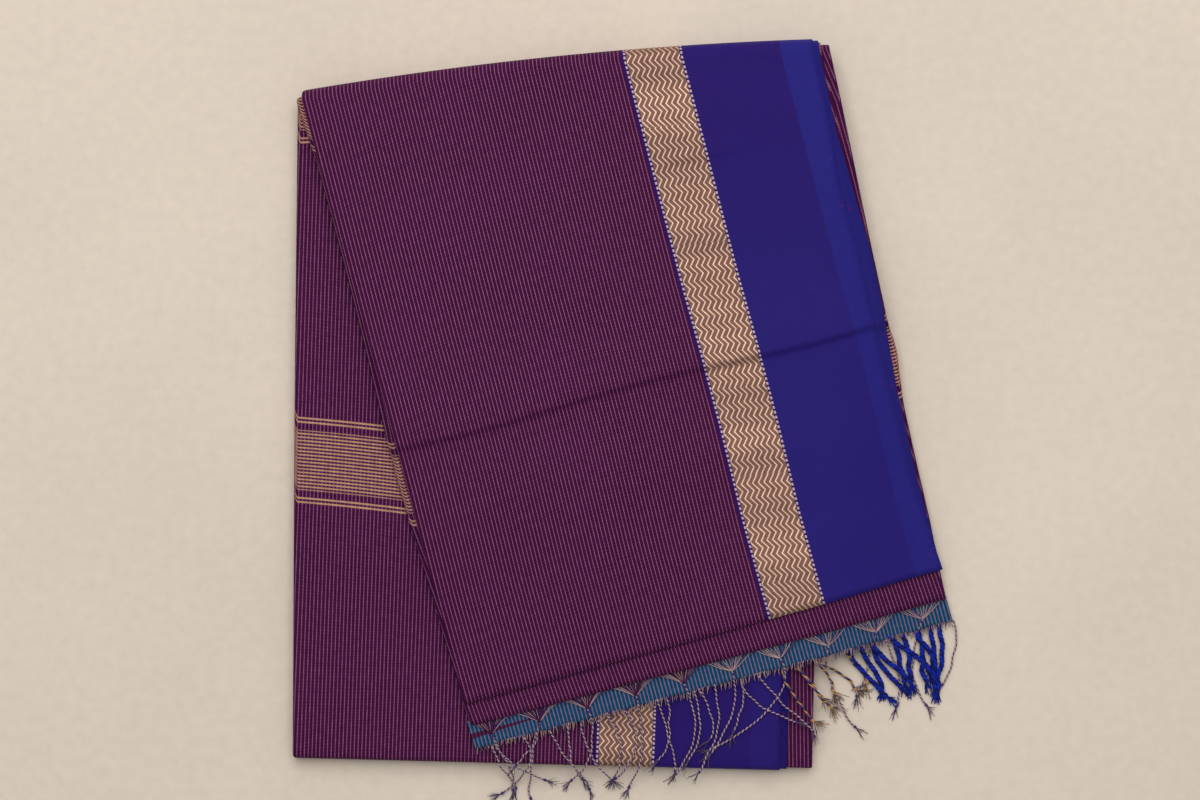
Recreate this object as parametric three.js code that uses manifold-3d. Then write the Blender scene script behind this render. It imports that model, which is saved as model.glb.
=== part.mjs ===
// A folded silk sari lying flat: one striped cloth with a broad selvedge border, a woven heading band at
// its end, and fringe knotted from the warp.
// Millimetres, +Z up, +X across the strip, +Y towards the top fold.
//
// How it is folded: the cloth is folded in four across its width, which makes a strip of four layers.
// The strip is folded in half along its length, so its fringed end lies a little past its inner end.
// That double strip is then folded over once more at the top, and the upper flap is turned aside.
// The whole cloth is one sheet of sixteen layers, swept as one back-and-forth section.

import * as THREE from "three";
import { mergeVertices } from "three/addons/utils/BufferGeometryUtils.js";
import Module from "manifold-3d";

const wasm = await Module();
wasm.setup();

// Driving sizes of the cloth
const sheetThickness = 1.0;
const layerPitch = 1.3;
const stripHeight = 4 * layerPitch;
const flapHeight = 2 * stripHeight;
const foldFlatten = 0.65; // depth of a pressed fold, as a share of a half circle
const restGap = (layerPitch - sheetThickness) / 2; // below the lowest layer of the section

// Lines that carry the folds and the inner end, each from its left end, in plan
const topFold = { x: -181.6, y: 180.9, turn: 5.75, stretch: 1.0115, bow: 5.1, bowLength: 290 };
const bottomFold = { x: -188.0, y: -188.7, turn: -1.47, stretch: 1, bow: 0, bowLength: 290 };
const innerEnd = { x: -89.2, y: -160.2, turn: 15.6, stretch: 1, bow: 0, bowLength: 290 };
const outlineCentre = { x: -0.45, y: -4.4 }; // middle of the finished outline, moved to the origin

// Where folds and selvedges lie across the strip. `at` counts legs from the fringed end:
// 1 is the top fold, 2 the bottom fold, 3 the top fold again, 4 the inner end.
const edgeRows = [
  { at: 0.0, left: -1.0, centreFold: 279.5, selvedgeA: 277.5, selvedgeB: 278.0 },
  { at: 0.25, left: -3.0, centreFold: 282.5, selvedgeA: 279.0, selvedgeB: 280.0 },
  { at: 0.4, left: -5.0, centreFold: 287.0, selvedgeA: 280.0, selvedgeB: 281.0 },
  { at: 0.65, left: -2.2, centreFold: 290.0, selvedgeA: 282.0, selvedgeB: 283.0 },
  { at: 0.9, left: -1.5, centreFold: 295.0, selvedgeA: 283.0, selvedgeB: 284.0 },
  { at: 1.0, left: -3.5, centreFold: 296.5, selvedgeA: 283.0, selvedgeB: 284.0 },
  { at: 1.5, left: -2.3, centreFold: 296.0, selvedgeA: 283.0, selvedgeB: 281.0 },
  { at: 2.0, left: 0.0, centreFold: 296.0, selvedgeA: 281.2, selvedgeB: 277.2 },
  { at: 2.5, left: -1.0, centreFold: 294.0, selvedgeA: 285.0, selvedgeB: 281.0 },
  { at: 3.0, left: 0.0, centreFold: 292.0, selvedgeA: 289.5, selvedgeB: 285.7 },
  { at: 3.4, left: 0.0, centreFold: 286.0, selvedgeA: 288.0, selvedgeB: 284.0 },
  { at: 3.6, left: 0.0, centreFold: 284.0, selvedgeA: 286.0, selvedgeB: 284.5 },
  { at: 3.8, left: 0.0, centreFold: 281.0, selvedgeA: 283.0, selvedgeB: 282.5 },
  { at: 4.0, left: 0.0, centreFold: 280.0, selvedgeA: 281.5, selvedgeB: 282.8 },
];

// How far each panel of the fringed end runs past the inner end
const endReach = { panel1: 6.5, panel2: 9.4, panel3: 12.8, panel4: 6.5 };
const endSlant = 0.015; // the fringed end runs a little further out towards the selvedges
const fringedLegShare = 0.955; // share of the first leg that the upper flap covers

// Mesh columns across a panel, closer where the upper flap drops to the table, and steps along it
const panelColumns = [120, 180, 205, 225, 242, 256, 267, 275];
const columnSpread = 1.025; // the columns lie a little wider at the top fold
const upperSteps = 12;
const lowerSteps = 3;
const foldSteps = 6;
const sharpTurnSteps = 4;
const wideTurnSteps = 6;

// The upper flap comes down to the table beyond the lower flap's right edge
const lowerRight = 296;
const drape = { clear: 2, reach: 60 };

// Heading band and fringe
const heading = { start: 9.8, end: 26.0, left: 3.0, right: 277.6, lowStart: 2.75, lowEnd: 2.5 };
const knottedStrip = { start: 13.2, end: 15.7, left: 0.5, right: 278.5, lowStart: 4.05, lowEnd: 4.05 };
const borderStrip = { start: 6.9, end: 9.5, left: 3.0, right: 277.0, lowStart: 0.3, lowEnd: 0.3 };
const knots = { first: 12, spacing: 28.2, beyond: 21.8, clear: 0.5 };
const knotRows = [
  { along: -1.7, swell: 0.8 },
  { along: -0.8, swell: 1.9 },
  { along: 0.8, swell: 1.9 },
  { along: 1.7, swell: 1.1 },
];
const gather = {
  rootWidth: 22,
  middleWidth: 10,
  knotWidth: 0.6,
  height: 0.55,
  lift: 0.15,
  columns: [-0.5, -0.17, 0.17, 0.5], // places across a gathered bundle, as shares of its width
};
const hangTurn = -0.252; // sideways share of a strand that hangs straight down the plan
const settleLength = 14; // a strand comes down to what it lies on over this length
const strandSteps = 12;
const colours = {
  body: "#4b1747",
  heading: "#135a83",
  thread: "#8d7086",
  border: "#1c2a8c",
};

// Strands under each piece: how far across the strip they are rooted, how far they reach past the band,
// and how far their tips stray sideways
const knottedStrands = [
  { reach: 38, sway: 4 },
  { reach: 50, sway: 3 },
  { reach: 44, sway: -2 },
  { reach: 48, sway: -3 },
  { reach: 46, sway: -2 },
  { reach: 50, sway: -1 },
  { reach: 46, sway: -3 },
  { reach: 42, sway: 0 },
  { reach: 40, sway: 1 },
  { reach: 36, sway: 2 },
];
const headingStrands = [
  { across: 20, reach: 36, sway: 3 },
  { across: 50, reach: 48, sway: 2 },
  { across: 59, reach: 40, sway: 1 },
  { across: 78, reach: 46, sway: -3 },
  { across: 87, reach: 38, sway: -4 },
  { across: 106, reach: 44, sway: -2 },
  { across: 115, reach: 48, sway: -1 },
  { across: 135, reach: 46, sway: -2 },
  { across: 144, reach: 40, sway: -2 },
  { across: 163, reach: 42, sway: -1 },
  { across: 172, reach: 34, sway: -2 },
];
const borderStrands = [
  { across: 190.5, reach: 42, sway: -2, width: 2.6 },
  { across: 196.5, reach: 46, sway: -2, width: 2.6 },
  { across: 203, reach: 44, sway: -1, width: 2.6 },
  { across: 217.5, reach: 40, sway: 0, width: 3.4 },
  { across: 223.5, reach: 38, sway: 0, width: 3.4 },
  { across: 230, reach: 38, sway: 1, width: 3.4 },
  { across: 246, reach: 36, sway: 1, width: 3.4 },
  { across: 252.5, reach: 38, sway: 2, width: 3.4 },
  { across: 259, reach: 36, sway: 2, width: 3.4 },
  { across: 274, reach: 36, sway: 2, width: 3.0 },
];
const knottedStrand = { width: 1.6, height: 1.3, lift: 0.25 };
const headingStrand = { width: 1.6, height: 0.7, lift: 0.12 };
const borderStrand = { height: 1.9, lift: 0.15 };

// Small helpers

const lerp = (a, b, t) => a + (b - a) * t;

function easeOver(value, start, end) {
  const t = Math.min(1, Math.max(0, (value - start) / (end - start)));
  return 0.5 - 0.5 * Math.cos(Math.PI * t);
}

function directionOf(line) {
  const turn = THREE.MathUtils.degToRad(line.turn);
  return { x: Math.cos(turn), y: Math.sin(turn) };
}

function pointOn(line, across) {
  const along = directionOf(line);
  const share = across / line.bowLength;
  const bow = 4 * line.bow * share * (1 - share);
  return {
    x: line.x + along.x * across * line.stretch - along.y * bow,
    y: line.y + along.y * across * line.stretch + along.x * bow,
  };
}

// Places in plan

function upperPoint(across, share, beyond) {
  const fold = pointOn(topFold, across);
  const end = pointOn(innerEnd, across);
  const along = directionOf(innerEnd);
  return {
    x: lerp(fold.x, end.x, share) + along.y * beyond,
    y: lerp(fold.y, end.y, share) - along.x * beyond,
  };
}

function lowerPoint(across, share) {
  const fold = pointOn(topFold, across);
  const end = pointOn(bottomFold, across);
  return { x: lerp(fold.x, end.x, share), y: lerp(fold.y, end.y, share) };
}

// A point past the fringed end of the cloth
function endPoint(across, beyond) {
  return upperPoint(across, 1, beyond + endSlant * across);
}

// Distance of a plan point to the right of the lower flap, and past its bottom fold
function pastLowerRight(point) {
  const top = pointOn(topFold, lowerRight);
  const low = pointOn(bottomFold, lowerRight);
  const length = Math.hypot(low.x - top.x, low.y - top.y);
  return ((point.x - top.x) * (top.y - low.y) + (point.y - top.y) * (low.x - top.x)) / length;
}

function pastLowerEnd(point) {
  const along = directionOf(bottomFold);
  const nose = stripHeight * foldFlatten;
  return (point.x - bottomFold.x) * along.y - (point.y - bottomFold.y) * along.x - nose;
}

// What the upper flap lies on: the lower flap, then the table past a slow drop
function bedHeight(point) {
  const past = pastLowerRight(point);
  return flapHeight * (1 - easeOver(past, drape.clear, drape.clear + drape.reach));
}

// The same bed past the inner end, straight between the columns of the cloth
function bedAtEnd(across, beyond) {
  const columns = [0, ...panelColumns, lowerRight];
  const next = Math.max(1, columns.findIndex((column) => column >= across));
  const [low, high] = [columns[next - 1], columns[next]];
  const heights = [low, high].map((column) => bedHeight(endPoint(column, beyond)));
  return lerp(heights[0], heights[1], (across - low) / (high - low));
}

// What a strand lies on: the lower flap, then the table past a short drop
function strandFloor(point) {
  const drop = { start: 0, end: 14 };
  const right = 1 - easeOver(pastLowerRight(point), drop.start, drop.end);
  const end = 1 - easeOver(pastLowerEnd(point), drop.start, drop.end);
  return restGap + flapHeight * right * end;
}

// The section of the strip: one path through panels 1, 2, 3 and 4

function edgesAt(at) {
  const next = Math.max(1, edgeRows.findIndex((row) => row.at >= at));
  const [low, high] = [edgeRows[next - 1], edgeRows[next]];
  const t = (at - low.at) / (high.at - low.at);
  const mix = (name) => lerp(low[name], high[name], t);
  return {
    left: mix("left"),
    centreFold: mix("centreFold"),
    selvedgeA: mix("selvedgeA"),
    selvedgeB: mix("selvedgeB"),
  };
}

function panelStations(from, to, columns, layer, reach) {
  const outward = to > from;
  const inside = outward ? columns : [...columns].reverse();
  return [from, ...inside, to].map((across) => ({
    across,
    height: (layer + 0.5) * layerPitch,
    side: { across: 0, height: outward ? 1 : -1 },
    reach,
  }));
}

// The inside stations of a half turn, from the angle `start` to the angle `end`
function turnStations(centre, radius, start, end, steps, reachFrom, reachTo) {
  const outward = end < start ? 1 : -1;
  const stations = [];
  for (let step = 1; step < steps; step += 1) {
    const angle = lerp(start, end, step / steps);
    const [cos, sin] = [Math.cos(angle), Math.sin(angle)];
    stations.push({
      across: centre.across + radius * cos,
      height: centre.height + radius * sin,
      side: { across: outward * cos, height: outward * sin },
      reach: lerp(reachFrom, reachTo, step / steps),
    });
  }
  return stations;
}

function sectionStations(row) {
  const edges = edgesAt(row.at);
  const columns = panelColumns.map((column) => column * lerp(columnSpread, 1, row.share));
  const quarter = Math.PI / 2;
  const leftTurn = { across: edges.left + sheetThickness / 2 + 1.5 * layerPitch, height: 2 * layerPitch };
  const centreTurn = {
    across: edges.centreFold - sheetThickness / 2 - 0.5 * layerPitch,
    height: layerPitch,
  };
  const { panel1, panel2, panel3, panel4 } = endReach;
  const [sharp, wide] = [0.5 * layerPitch, 1.5 * layerPitch];
  return [
    ...panelStations(edges.selvedgeA, leftTurn.across, columns, 2, panel1),
    ...turnStations(leftTurn, sharp, quarter, 3 * quarter, sharpTurnSteps, panel1, panel2),
    ...panelStations(leftTurn.across, centreTurn.across, columns, 1, panel2),
    ...turnStations(centreTurn, sharp, quarter, -quarter, sharpTurnSteps, panel2, panel3),
    ...panelStations(centreTurn.across, leftTurn.across, columns, 0, panel3),
    ...turnStations(leftTurn, wide, 3 * quarter, quarter, wideTurnSteps, panel3, panel4),
    ...panelStations(leftTurn.across, edges.selvedgeB, columns, 3, panel4),
  ];
}

// The rows of the sweep, leg by leg from the fringed end to the inner end

function sweepRows() {
  const rows = [];
  for (const past of [1, 0.5]) {
    rows.push({ kind: "upper", outer: false, share: 1, past, at: (1 - fringedLegShare) * (1 - past) });
  }
  for (let step = upperSteps; step > 0; step -= 1) {
    const share = step / upperSteps;
    rows.push({ kind: "upper", outer: false, share, past: 0, at: 1 - fringedLegShare * share });
  }
  for (let step = 0; step <= foldSteps; step += 1) {
    rows.push({ kind: "topFold", outer: false, share: 0, angle: (Math.PI * step) / foldSteps, at: 1 });
  }
  for (let step = 1; step < lowerSteps; step += 1) {
    rows.push({ kind: "lower", outer: false, share: step / lowerSteps, at: 1 + step / lowerSteps });
  }
  for (let step = 0; step <= foldSteps; step += 1) {
    rows.push({ kind: "bottomFold", outer: false, share: 1, angle: (Math.PI * step) / foldSteps, at: 2 });
  }
  for (let step = lowerSteps - 1; step > 0; step -= 1) {
    rows.push({ kind: "lower", outer: true, share: step / lowerSteps, at: 3 - step / lowerSteps });
  }
  for (let step = foldSteps; step >= 0; step -= 1) {
    rows.push({ kind: "topFold", outer: true, share: 0, angle: (Math.PI * step) / foldSteps, at: 3 });
  }
  for (let step = 1; step <= upperSteps; step += 1) {
    rows.push({ kind: "upper", outer: true, share: step / upperSteps, past: 0, at: 3 + step / upperSteps });
  }
  return rows;
}

// A point of the strip's section, at a row of the sweep, in space
function placeInSpace(row, across, height, reach) {
  if (row.kind === "upper") {
    const plan = upperPoint(across, row.share, row.past * (reach + endSlant * across));
    const lift = row.outer ? stripHeight + height : stripHeight - height;
    return [plan.x, plan.y, bedHeight(plan) + lift];
  }
  if (row.kind === "lower") {
    const plan = lowerPoint(across, row.share);
    return [plan.x, plan.y, row.outer ? stripHeight - height : stripHeight + height];
  }
  const line = row.kind === "topFold" ? topFold : bottomFold;
  const along = directionOf(line);
  const plan = pointOn(line, across);
  const topRadius = row.outer ? stripHeight + height : stripHeight - height;
  const radius = row.kind === "topFold" ? topRadius : height;
  const axisHeight = row.kind === "topFold" ? flapHeight : stripHeight;
  const outward = (row.kind === "topFold" ? 1 : -1) * radius * Math.sin(row.angle) * foldFlatten;
  return [
    plan.x - along.y * outward,
    plan.y + along.x * outward,
    axisHeight + radius * Math.cos(row.angle),
  ];
}

// A closed geometry from loose points and triangles, with its faces turned outwards
function closedGeometry(points, triangles) {
  let volume = 0;
  for (const [a, b, c] of triangles) {
    const cross = new THREE.Vector3(...points[b]).cross(new THREE.Vector3(...points[c]));
    volume += new THREE.Vector3(...points[a]).dot(cross);
  }
  const faces = volume < 0 ? triangles.map(([a, b, c]) => [a, c, b]) : triangles;
  const geometry = new THREE.BufferGeometry();
  geometry.setAttribute("position", new THREE.Float32BufferAttribute(points.flat(), 3));
  geometry.setIndex(faces.flat());
  return geometry;
}

// A sheet from two grids of points, its upper and lower sides, closed round its rim.
// `split(row, column)` says which diagonal parts a cell, so that neighbouring layers are cut alike.
function sheetGeometry(upperSide, lowerSide, split) {
  const [rowCount, columnCount] = [upperSide.length, upperSide[0].length];
  const size = rowCount * columnCount;
  const index = (row, column) => row * columnCount + column;
  const triangles = [];
  const quad = (a, b, c, d) => triangles.push([a, b, c], [a, c, d]);
  for (let row = 0; row + 1 < rowCount; row += 1) {
    for (let column = 0; column + 1 < columnCount; column += 1) {
      const corners = [
        index(row, column),
        index(row, column + 1),
        index(row + 1, column + 1),
        index(row + 1, column),
      ];
      const turned = split(row, column) ? corners : [corners[1], corners[2], corners[3], corners[0]];
      quad(...turned);
      const [a, b, c, d] = turned.map((corner) => corner + size);
      quad(a, d, c, b);
    }
  }
  const rim = [];
  for (let column = 0; column < columnCount - 1; column += 1) rim.push(index(0, column));
  for (let row = 0; row < rowCount - 1; row += 1) rim.push(index(row, columnCount - 1));
  for (let column = columnCount - 1; column > 0; column -= 1) rim.push(index(rowCount - 1, column));
  for (let row = rowCount - 1; row > 0; row -= 1) rim.push(index(row, 0));
  rim.forEach((corner, place) => {
    const next = rim[(place + 1) % rim.length];
    quad(next, corner, corner + size, next + size);
  });
  return closedGeometry([...upperSide.flat(), ...lowerSide.flat()], triangles);
}

function clothGeometry() {
  const rows = sweepRows();
  const sections = rows.map(sectionStations);
  const side = (sign) =>
    rows.map((row, place) =>
      sections[place].map((station) =>
        placeInSpace(
          row,
          station.across + (sign * station.side.across * sheetThickness) / 2,
          station.height + (sign * station.side.height * sheetThickness) / 2,
          station.reach,
        ),
      ),
    );
  const split = (row, column) => {
    const acrossGrows = sections[row][column + 1].across > sections[row][column].across;
    return acrossGrows === rows[row].outer;
  };
  return sheetGeometry(side(1), side(-1), split);
}

// Solids for the heading band and the fringe

function solidOf(geometry) {
  const merged = mergeVertices(geometry);
  return new wasm.Manifold(
    new wasm.Mesh({
      numProp: 3,
      vertProperties: merged.attributes.position.array,
      triVerts: new Uint32Array(merged.index.array),
    }),
  );
}

function joinedGeometry(pieces) {
  const joined = pieces.map(solidOf).reduce((whole, piece) => whole.add(piece));
  const mesh = joined.getMesh();
  const geometry = new THREE.BufferGeometry();
  geometry.setAttribute("position", new THREE.Float32BufferAttribute(mesh.vertProperties, 3));
  geometry.setIndex([...mesh.triVerts]);
  return geometry;
}

// A flat band along the strip's end, lying on the same slope as the cloth
function bandGeometry(band) {
  const columns = [band.left, ...panelColumns.filter((across) => across < band.right - 2), band.right];
  const side = (rise) =>
    [band.start, band.end].map((beyond) =>
      columns.map((across) => {
        const plan = endPoint(across, beyond);
        const low = lerp(band.lowStart, band.lowEnd, (beyond - band.start) / (band.end - band.start));
        return [plan.x, plan.y, bedAtEnd(across, beyond) + low + rise];
      }),
    );
  return sheetGeometry(side(sheetThickness), side(0), () => true);
}

// A strand of square section along a path of plan points with a height under each, swollen at a knot
function strandGeometry(path, width, height) {
  const loops = path.map((point, place) => {
    const swell = point.swell ?? 1;
    const half = (width / 2) * swell;
    const top = point.z + height * swell;
    const before = path[Math.max(0, place - 1)];
    const after = path[Math.min(path.length - 1, place + 1)];
    const length = Math.hypot(after.x - before.x, after.y - before.y);
    const side = { x: (after.y - before.y) / length, y: (before.x - after.x) / length };
    return [
      [point.x - side.x * half, point.y - side.y * half, point.z],
      [point.x + side.x * half, point.y + side.y * half, point.z],
      [point.x + side.x * half, point.y + side.y * half, top],
      [point.x - side.x * half, point.y - side.y * half, top],
    ];
  });
  const triangles = [
    [0, 1, 2],
    [0, 2, 3],
  ];
  for (let place = 0; place + 1 < loops.length; place += 1) {
    const [near, far] = [place * 4, place * 4 + 4];
    for (let corner = 0; corner < 4; corner += 1) {
      const next = (corner + 1) % 4;
      triangles.push([near + corner, far + corner, far + next], [near + corner, far + next, near + next]);
    }
  }
  const last = (loops.length - 1) * 4;
  triangles.push([last, last + 2, last + 1], [last, last + 3, last + 2]);
  return closedGeometry(loops.flat(), triangles);
}

// The path of a strand that leaves the cloth `from` past the inner end, at `lift` over the bed, and comes
// down to what it lies on once it is past `edge`
function strandPath(strand, from, lift, edge) {
  const length = heading.end - from + strand.reach;
  const path = [];
  for (let step = 0; step <= strandSteps; step += 1) {
    const share = step / strandSteps;
    const beyond = from + length * share;
    const hung = Math.max(0, beyond - edge);
    const across = strand.across + hangTurn * hung + strand.sway * share * share;
    const plan = endPoint(across, beyond);
    const settled = easeOver(hung, 0, settleLength);
    path.push({ ...plan, z: lerp(bedAtEnd(across, beyond) + lift, strandFloor(plan), settled) });
  }
  return path;
}

function headingGeometry() {
  const pieces = [bandGeometry(heading)];
  for (const strand of headingStrands) {
    const path = strandPath(strand, heading.end - 1, heading.lowEnd + headingStrand.lift, heading.end);
    pieces.push(strandGeometry(path, headingStrand.width, headingStrand.height));
  }
  return joinedGeometry(pieces);
}

const knotLift = heading.lowStart + sheetThickness + knots.clear;

// A knot is a short swelling at the head of its strand
function knotPath(across) {
  return knotRows.map(({ along, swell }) => {
    const beyond = knots.beyond + along;
    return { ...endPoint(across, beyond), z: bedAtEnd(across, beyond) + knotLift, swell };
  });
}

// Warp threads draw together from the end of the cloth into a knot
function gatherGeometry(centre) {
  const start = knottedStrip.end - 1;
  const places = [
    { beyond: start, width: gather.rootWidth },
    { beyond: lerp(start, knots.beyond, 0.45), width: gather.middleWidth },
    { beyond: knots.beyond, width: gather.knotWidth },
  ];
  const side = (rise) =>
    places.map(({ beyond, width }) =>
      gather.columns.map((column) => {
        const across = centre + column * width;
        const plan = endPoint(across, beyond);
        return [plan.x, plan.y, bedAtEnd(across, beyond) + knotLift + gather.lift + rise];
      }),
    );
  return sheetGeometry(side(gather.height), side(0), () => true);
}

function knottedGeometry() {
  const pieces = [bandGeometry(knottedStrip)];
  knottedStrands.forEach((row, place) => {
    const strand = { ...row, across: knots.first + knots.spacing * place };
    const path = [
      ...knotPath(strand.across),
      ...strandPath(strand, knots.beyond + 3, knotLift + knottedStrand.lift, heading.end + 2),
    ];
    pieces.push(
      gatherGeometry(strand.across),
      strandGeometry(path, knottedStrand.width, knottedStrand.height),
    );
  });
  return joinedGeometry(pieces);
}

function borderGeometry() {
  const pieces = [bandGeometry(borderStrip)];
  for (const strand of borderStrands) {
    const path = strandPath(strand, borderStrip.end - 1, borderStrand.lift, heading.end);
    pieces.push(strandGeometry(path, strand.width, borderStrand.height));
  }
  return joinedGeometry(pieces);
}

// The scene graph

function silk(colour) {
  return new THREE.MeshStandardMaterial({ color: colour, roughness: 0.55, metalness: 0 });
}

function namedMesh(name, geometry, colour) {
  const mesh = new THREE.Mesh(geometry, silk(colour));
  mesh.name = name;
  return mesh;
}

const sari = new THREE.Group();
const laidOut = new THREE.Group();
laidOut.position.set(-outlineCentre.x, -outlineCentre.y, -restGap);
laidOut.add(
  namedMesh("sari_cloth", clothGeometry(), colours.body),
  namedMesh("heading_band", headingGeometry(), colours.heading),
  namedMesh("knotted_fringe", knottedGeometry(), colours.thread),
  namedMesh("border_fringe", borderGeometry(), colours.border),
);
sari.add(laidOut);

export default sari;
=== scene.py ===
import math
import random

import bpy
import numpy as np
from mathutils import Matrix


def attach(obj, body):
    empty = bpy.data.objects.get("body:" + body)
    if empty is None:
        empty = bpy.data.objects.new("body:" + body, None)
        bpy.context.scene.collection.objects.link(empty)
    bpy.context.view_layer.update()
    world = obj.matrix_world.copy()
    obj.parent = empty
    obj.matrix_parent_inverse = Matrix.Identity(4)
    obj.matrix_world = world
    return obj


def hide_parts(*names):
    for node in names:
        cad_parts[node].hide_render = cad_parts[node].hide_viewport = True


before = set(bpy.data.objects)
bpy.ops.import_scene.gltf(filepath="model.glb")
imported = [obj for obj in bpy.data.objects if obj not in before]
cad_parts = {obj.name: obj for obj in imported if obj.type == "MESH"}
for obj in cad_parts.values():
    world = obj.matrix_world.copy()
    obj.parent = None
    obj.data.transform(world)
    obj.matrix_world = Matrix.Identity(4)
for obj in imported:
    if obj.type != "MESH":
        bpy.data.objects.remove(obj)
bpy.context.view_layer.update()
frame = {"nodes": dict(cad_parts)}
print("frame loaded:", ", ".join(frame["nodes"]))

mm = 0.001  # all sizes below are in millimetres


def lerp(a, b, t):
    return a + (b - a) * t


def easeOver(value, start, end):
    t = np.clip((value - start) / (end - start), 0, 1)
    return 0.5 - 0.5 * np.cos(np.pi * t)


def hill(value, centre, before, after):  # a soft ridge with two different slopes
    away = value - centre
    return np.exp(-((away / np.where(away < 0, before, after)) ** 2))


def table(names, rows):  # rows of values as dictionaries with named columns
    return [dict(zip(names, row)) for row in rows]


def silkColour(red, green, blue):  # screen values to the linear ones that shaders take
    def linear(part):
        part /= 255
        return part / 12.92 if part <= 0.04045 else ((part + 0.055) / 1.055) ** 2.4
    return (linear(red), linear(green), linear(blue), 1.0)


# shader maths

class Wire:  # one socket; Python's operators on it add Math nodes
    def __init__(self, finish, socket):
        self.finish = finish
        self.socket = socket

    def math(self, operation, *others):
        return self.finish.calc(operation, self, *others)

    def __add__(self, other):
        return self.math("ADD", other)

    __radd__ = __add__

    def __sub__(self, other):
        return self.math("SUBTRACT", other)

    def __rsub__(self, other):
        return self.finish.calc("SUBTRACT", other, self)

    def __mul__(self, other):
        return self.math("MULTIPLY", other)

    __rmul__ = __mul__

    def __truediv__(self, other):
        return self.math("DIVIDE", other)

    def __rtruediv__(self, other):
        return self.finish.calc("DIVIDE", other, self)

    def __mod__(self, other):
        return self.math("FLOORED_MODULO", other)

    def __abs__(self):
        return self.math("ABSOLUTE")


class Finish:  # one material and the nodes in it
    def __init__(self, name):
        self.material = bpy.data.materials.new(name)
        self.material.use_nodes = True
        self.tree = self.material.node_tree
        self.tree.nodes.clear()

    def node(self, kind, settings=None, inputs=None, output=0):
        made = self.tree.nodes.new(kind)
        for name, value in (settings or {}).items():
            setattr(made, name, value)
        for name, value in (inputs or {}).items():
            if isinstance(value, Wire):
                self.tree.links.new(value.socket, made.inputs[name])
            else:
                made.inputs[name].default_value = value
        return Wire(self, made.outputs[output]) if made.outputs else None

    def calc(self, operation, *values):
        return self.node("ShaderNodeMath", {"operation": operation}, dict(enumerate(values)))

    def step(self, value, start, end):  # 0 before start, 1 after end
        return self.node("ShaderNodeMapRange", {"interpolation_type": "SMOOTHSTEP"},
                         {"Value": value, "From Min": start, "From Max": end})

    def band(self, value, start, end, soft):
        return self.step(value, start - soft, start + soft) - self.step(value, end - soft, end + soft)

    def lines(self, value, pitch, width, soft):  # parallel lines, one in the middle of each pitch
        away = abs((value / pitch) % 1.0 - 0.5) * pitch
        return 1 - self.step(away, width / 2 - soft, width / 2 + soft)

    def zigzag(self, value, pitch):  # 0 to 1 and back over each pitch
        return abs((value / pitch) % 1.0 - 0.5) * 2

    def threads(self, across, along):  # relief of the single warp and weft threads
        return self.lines(across, 0.36, 0.2, 0.08) + self.lines(along, 0.42, 0.24, 0.09)

    def noise(self, vector, scale, detail=2.0):
        return self.node("ShaderNodeTexNoise", {}, {"Vector": vector, "Scale": scale, "Detail": detail})

    def mix(self, factor, first, second):
        return self.node("ShaderNodeMix", {"data_type": "RGBA"}, {0: factor, 6: first, 7: second}, 2)

    def weaveMap(self):  # the woven place as a vector, and both its parts in millimetres
        flat = self.node("ShaderNodeUVMap", {"uv_map": "weave"})
        across = self.node("ShaderNodeSeparateXYZ", {}, {0: flat}, 0) * 1000
        along = self.node("ShaderNodeSeparateXYZ", {}, {0: flat}, 1) * 1000
        return flat, across, along

    def shade(self, colour, factor):  # a colour made darker or lighter by a number
        return self.node("ShaderNodeVectorMath", {"operation": "SCALE"}, {0: colour, "Scale": factor})

    def bump(self, height, strength, distance):
        return self.node("ShaderNodeBump", {},
                         {"Height": height, "Strength": strength, "Distance": distance})

    def close(self, sockets):
        shader = self.node("ShaderNodeBsdfPrincipled", {}, sockets)
        self.node("ShaderNodeOutputMaterial", {}, {"Surface": shader})
        return self.material


# the lie of the cloth on the table

lie = {
    # the folds at the top and the bottom, and the plain end on the upper flap
    "top": dict(x=-181.6, y=180.9, turn=5.75, stretch=1.0115, bow=5.1),
    "bottom": dict(x=-188.0, y=-188.7, turn=-1.47, stretch=1.0, bow=0.0),
    "innerEnd": dict(x=-89.2, y=-160.2, turn=15.6, stretch=1.0, bow=0.0),
    "bowLength": 290,
    "centre": (-0.45, -4.4),  # middle of the outline
    "lowerRight": 296,
    "dropClear": 2,  # the upper flap comes down to the table past the lower one
    "dropReach": 60,
    "strandDrop": 14,  # a strand comes down over the edges of the lower flap
    "endSlant": 0.015,
    "flapCorner": (-182.3, 187.4),  # the upper flap's own corner and turn
    "flapTurn": 14.6,
}

sheet = {
    "thickness": 0.62,
    "pitch": 1.3,
    "flatten": 0.65,
    "reach": (6.5, 9.4, 12.8, 6.5),  # panels 1 to 4 past the inner end
    "legShare": 0.955,
    "columns": (16, 16, 24, 72),  # cells across panels 1 to 4
    "turnCells": (5, 5, 9),
    "smallTurn": 2,  # cloth taken up by a narrow and by the wide turn
    "wideTurn": 6,
    "upperRows": 48,  # rows of the inner upper, inner lower and outer lower flap
    "lowerRows": 60,
    "underRows": 16,
    "foldRows": (11, 13),
    "topRows": ((0, 0.1, 10), (0.1, 0.2, 24), (0.2, 0.5, 20), (0.5, 0.65, 45), (0.65, 1, 30)),
    "press": 0.7,  # how far, and from where on, the fringed end lies pressed together
    "pressFrom": 0.65,
    "weaveStart": 13.0,  # the cloth begins this far from the end of the heading band
    "weftSkew": 0.16,  # the weft runs askew on the lower flap
    "skewReach": 185,
}
stripHeight = 4 * sheet["pitch"]
flapHeight = 2 * stripHeight
restGap = (sheet["pitch"] - 1.0) / 2

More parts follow.
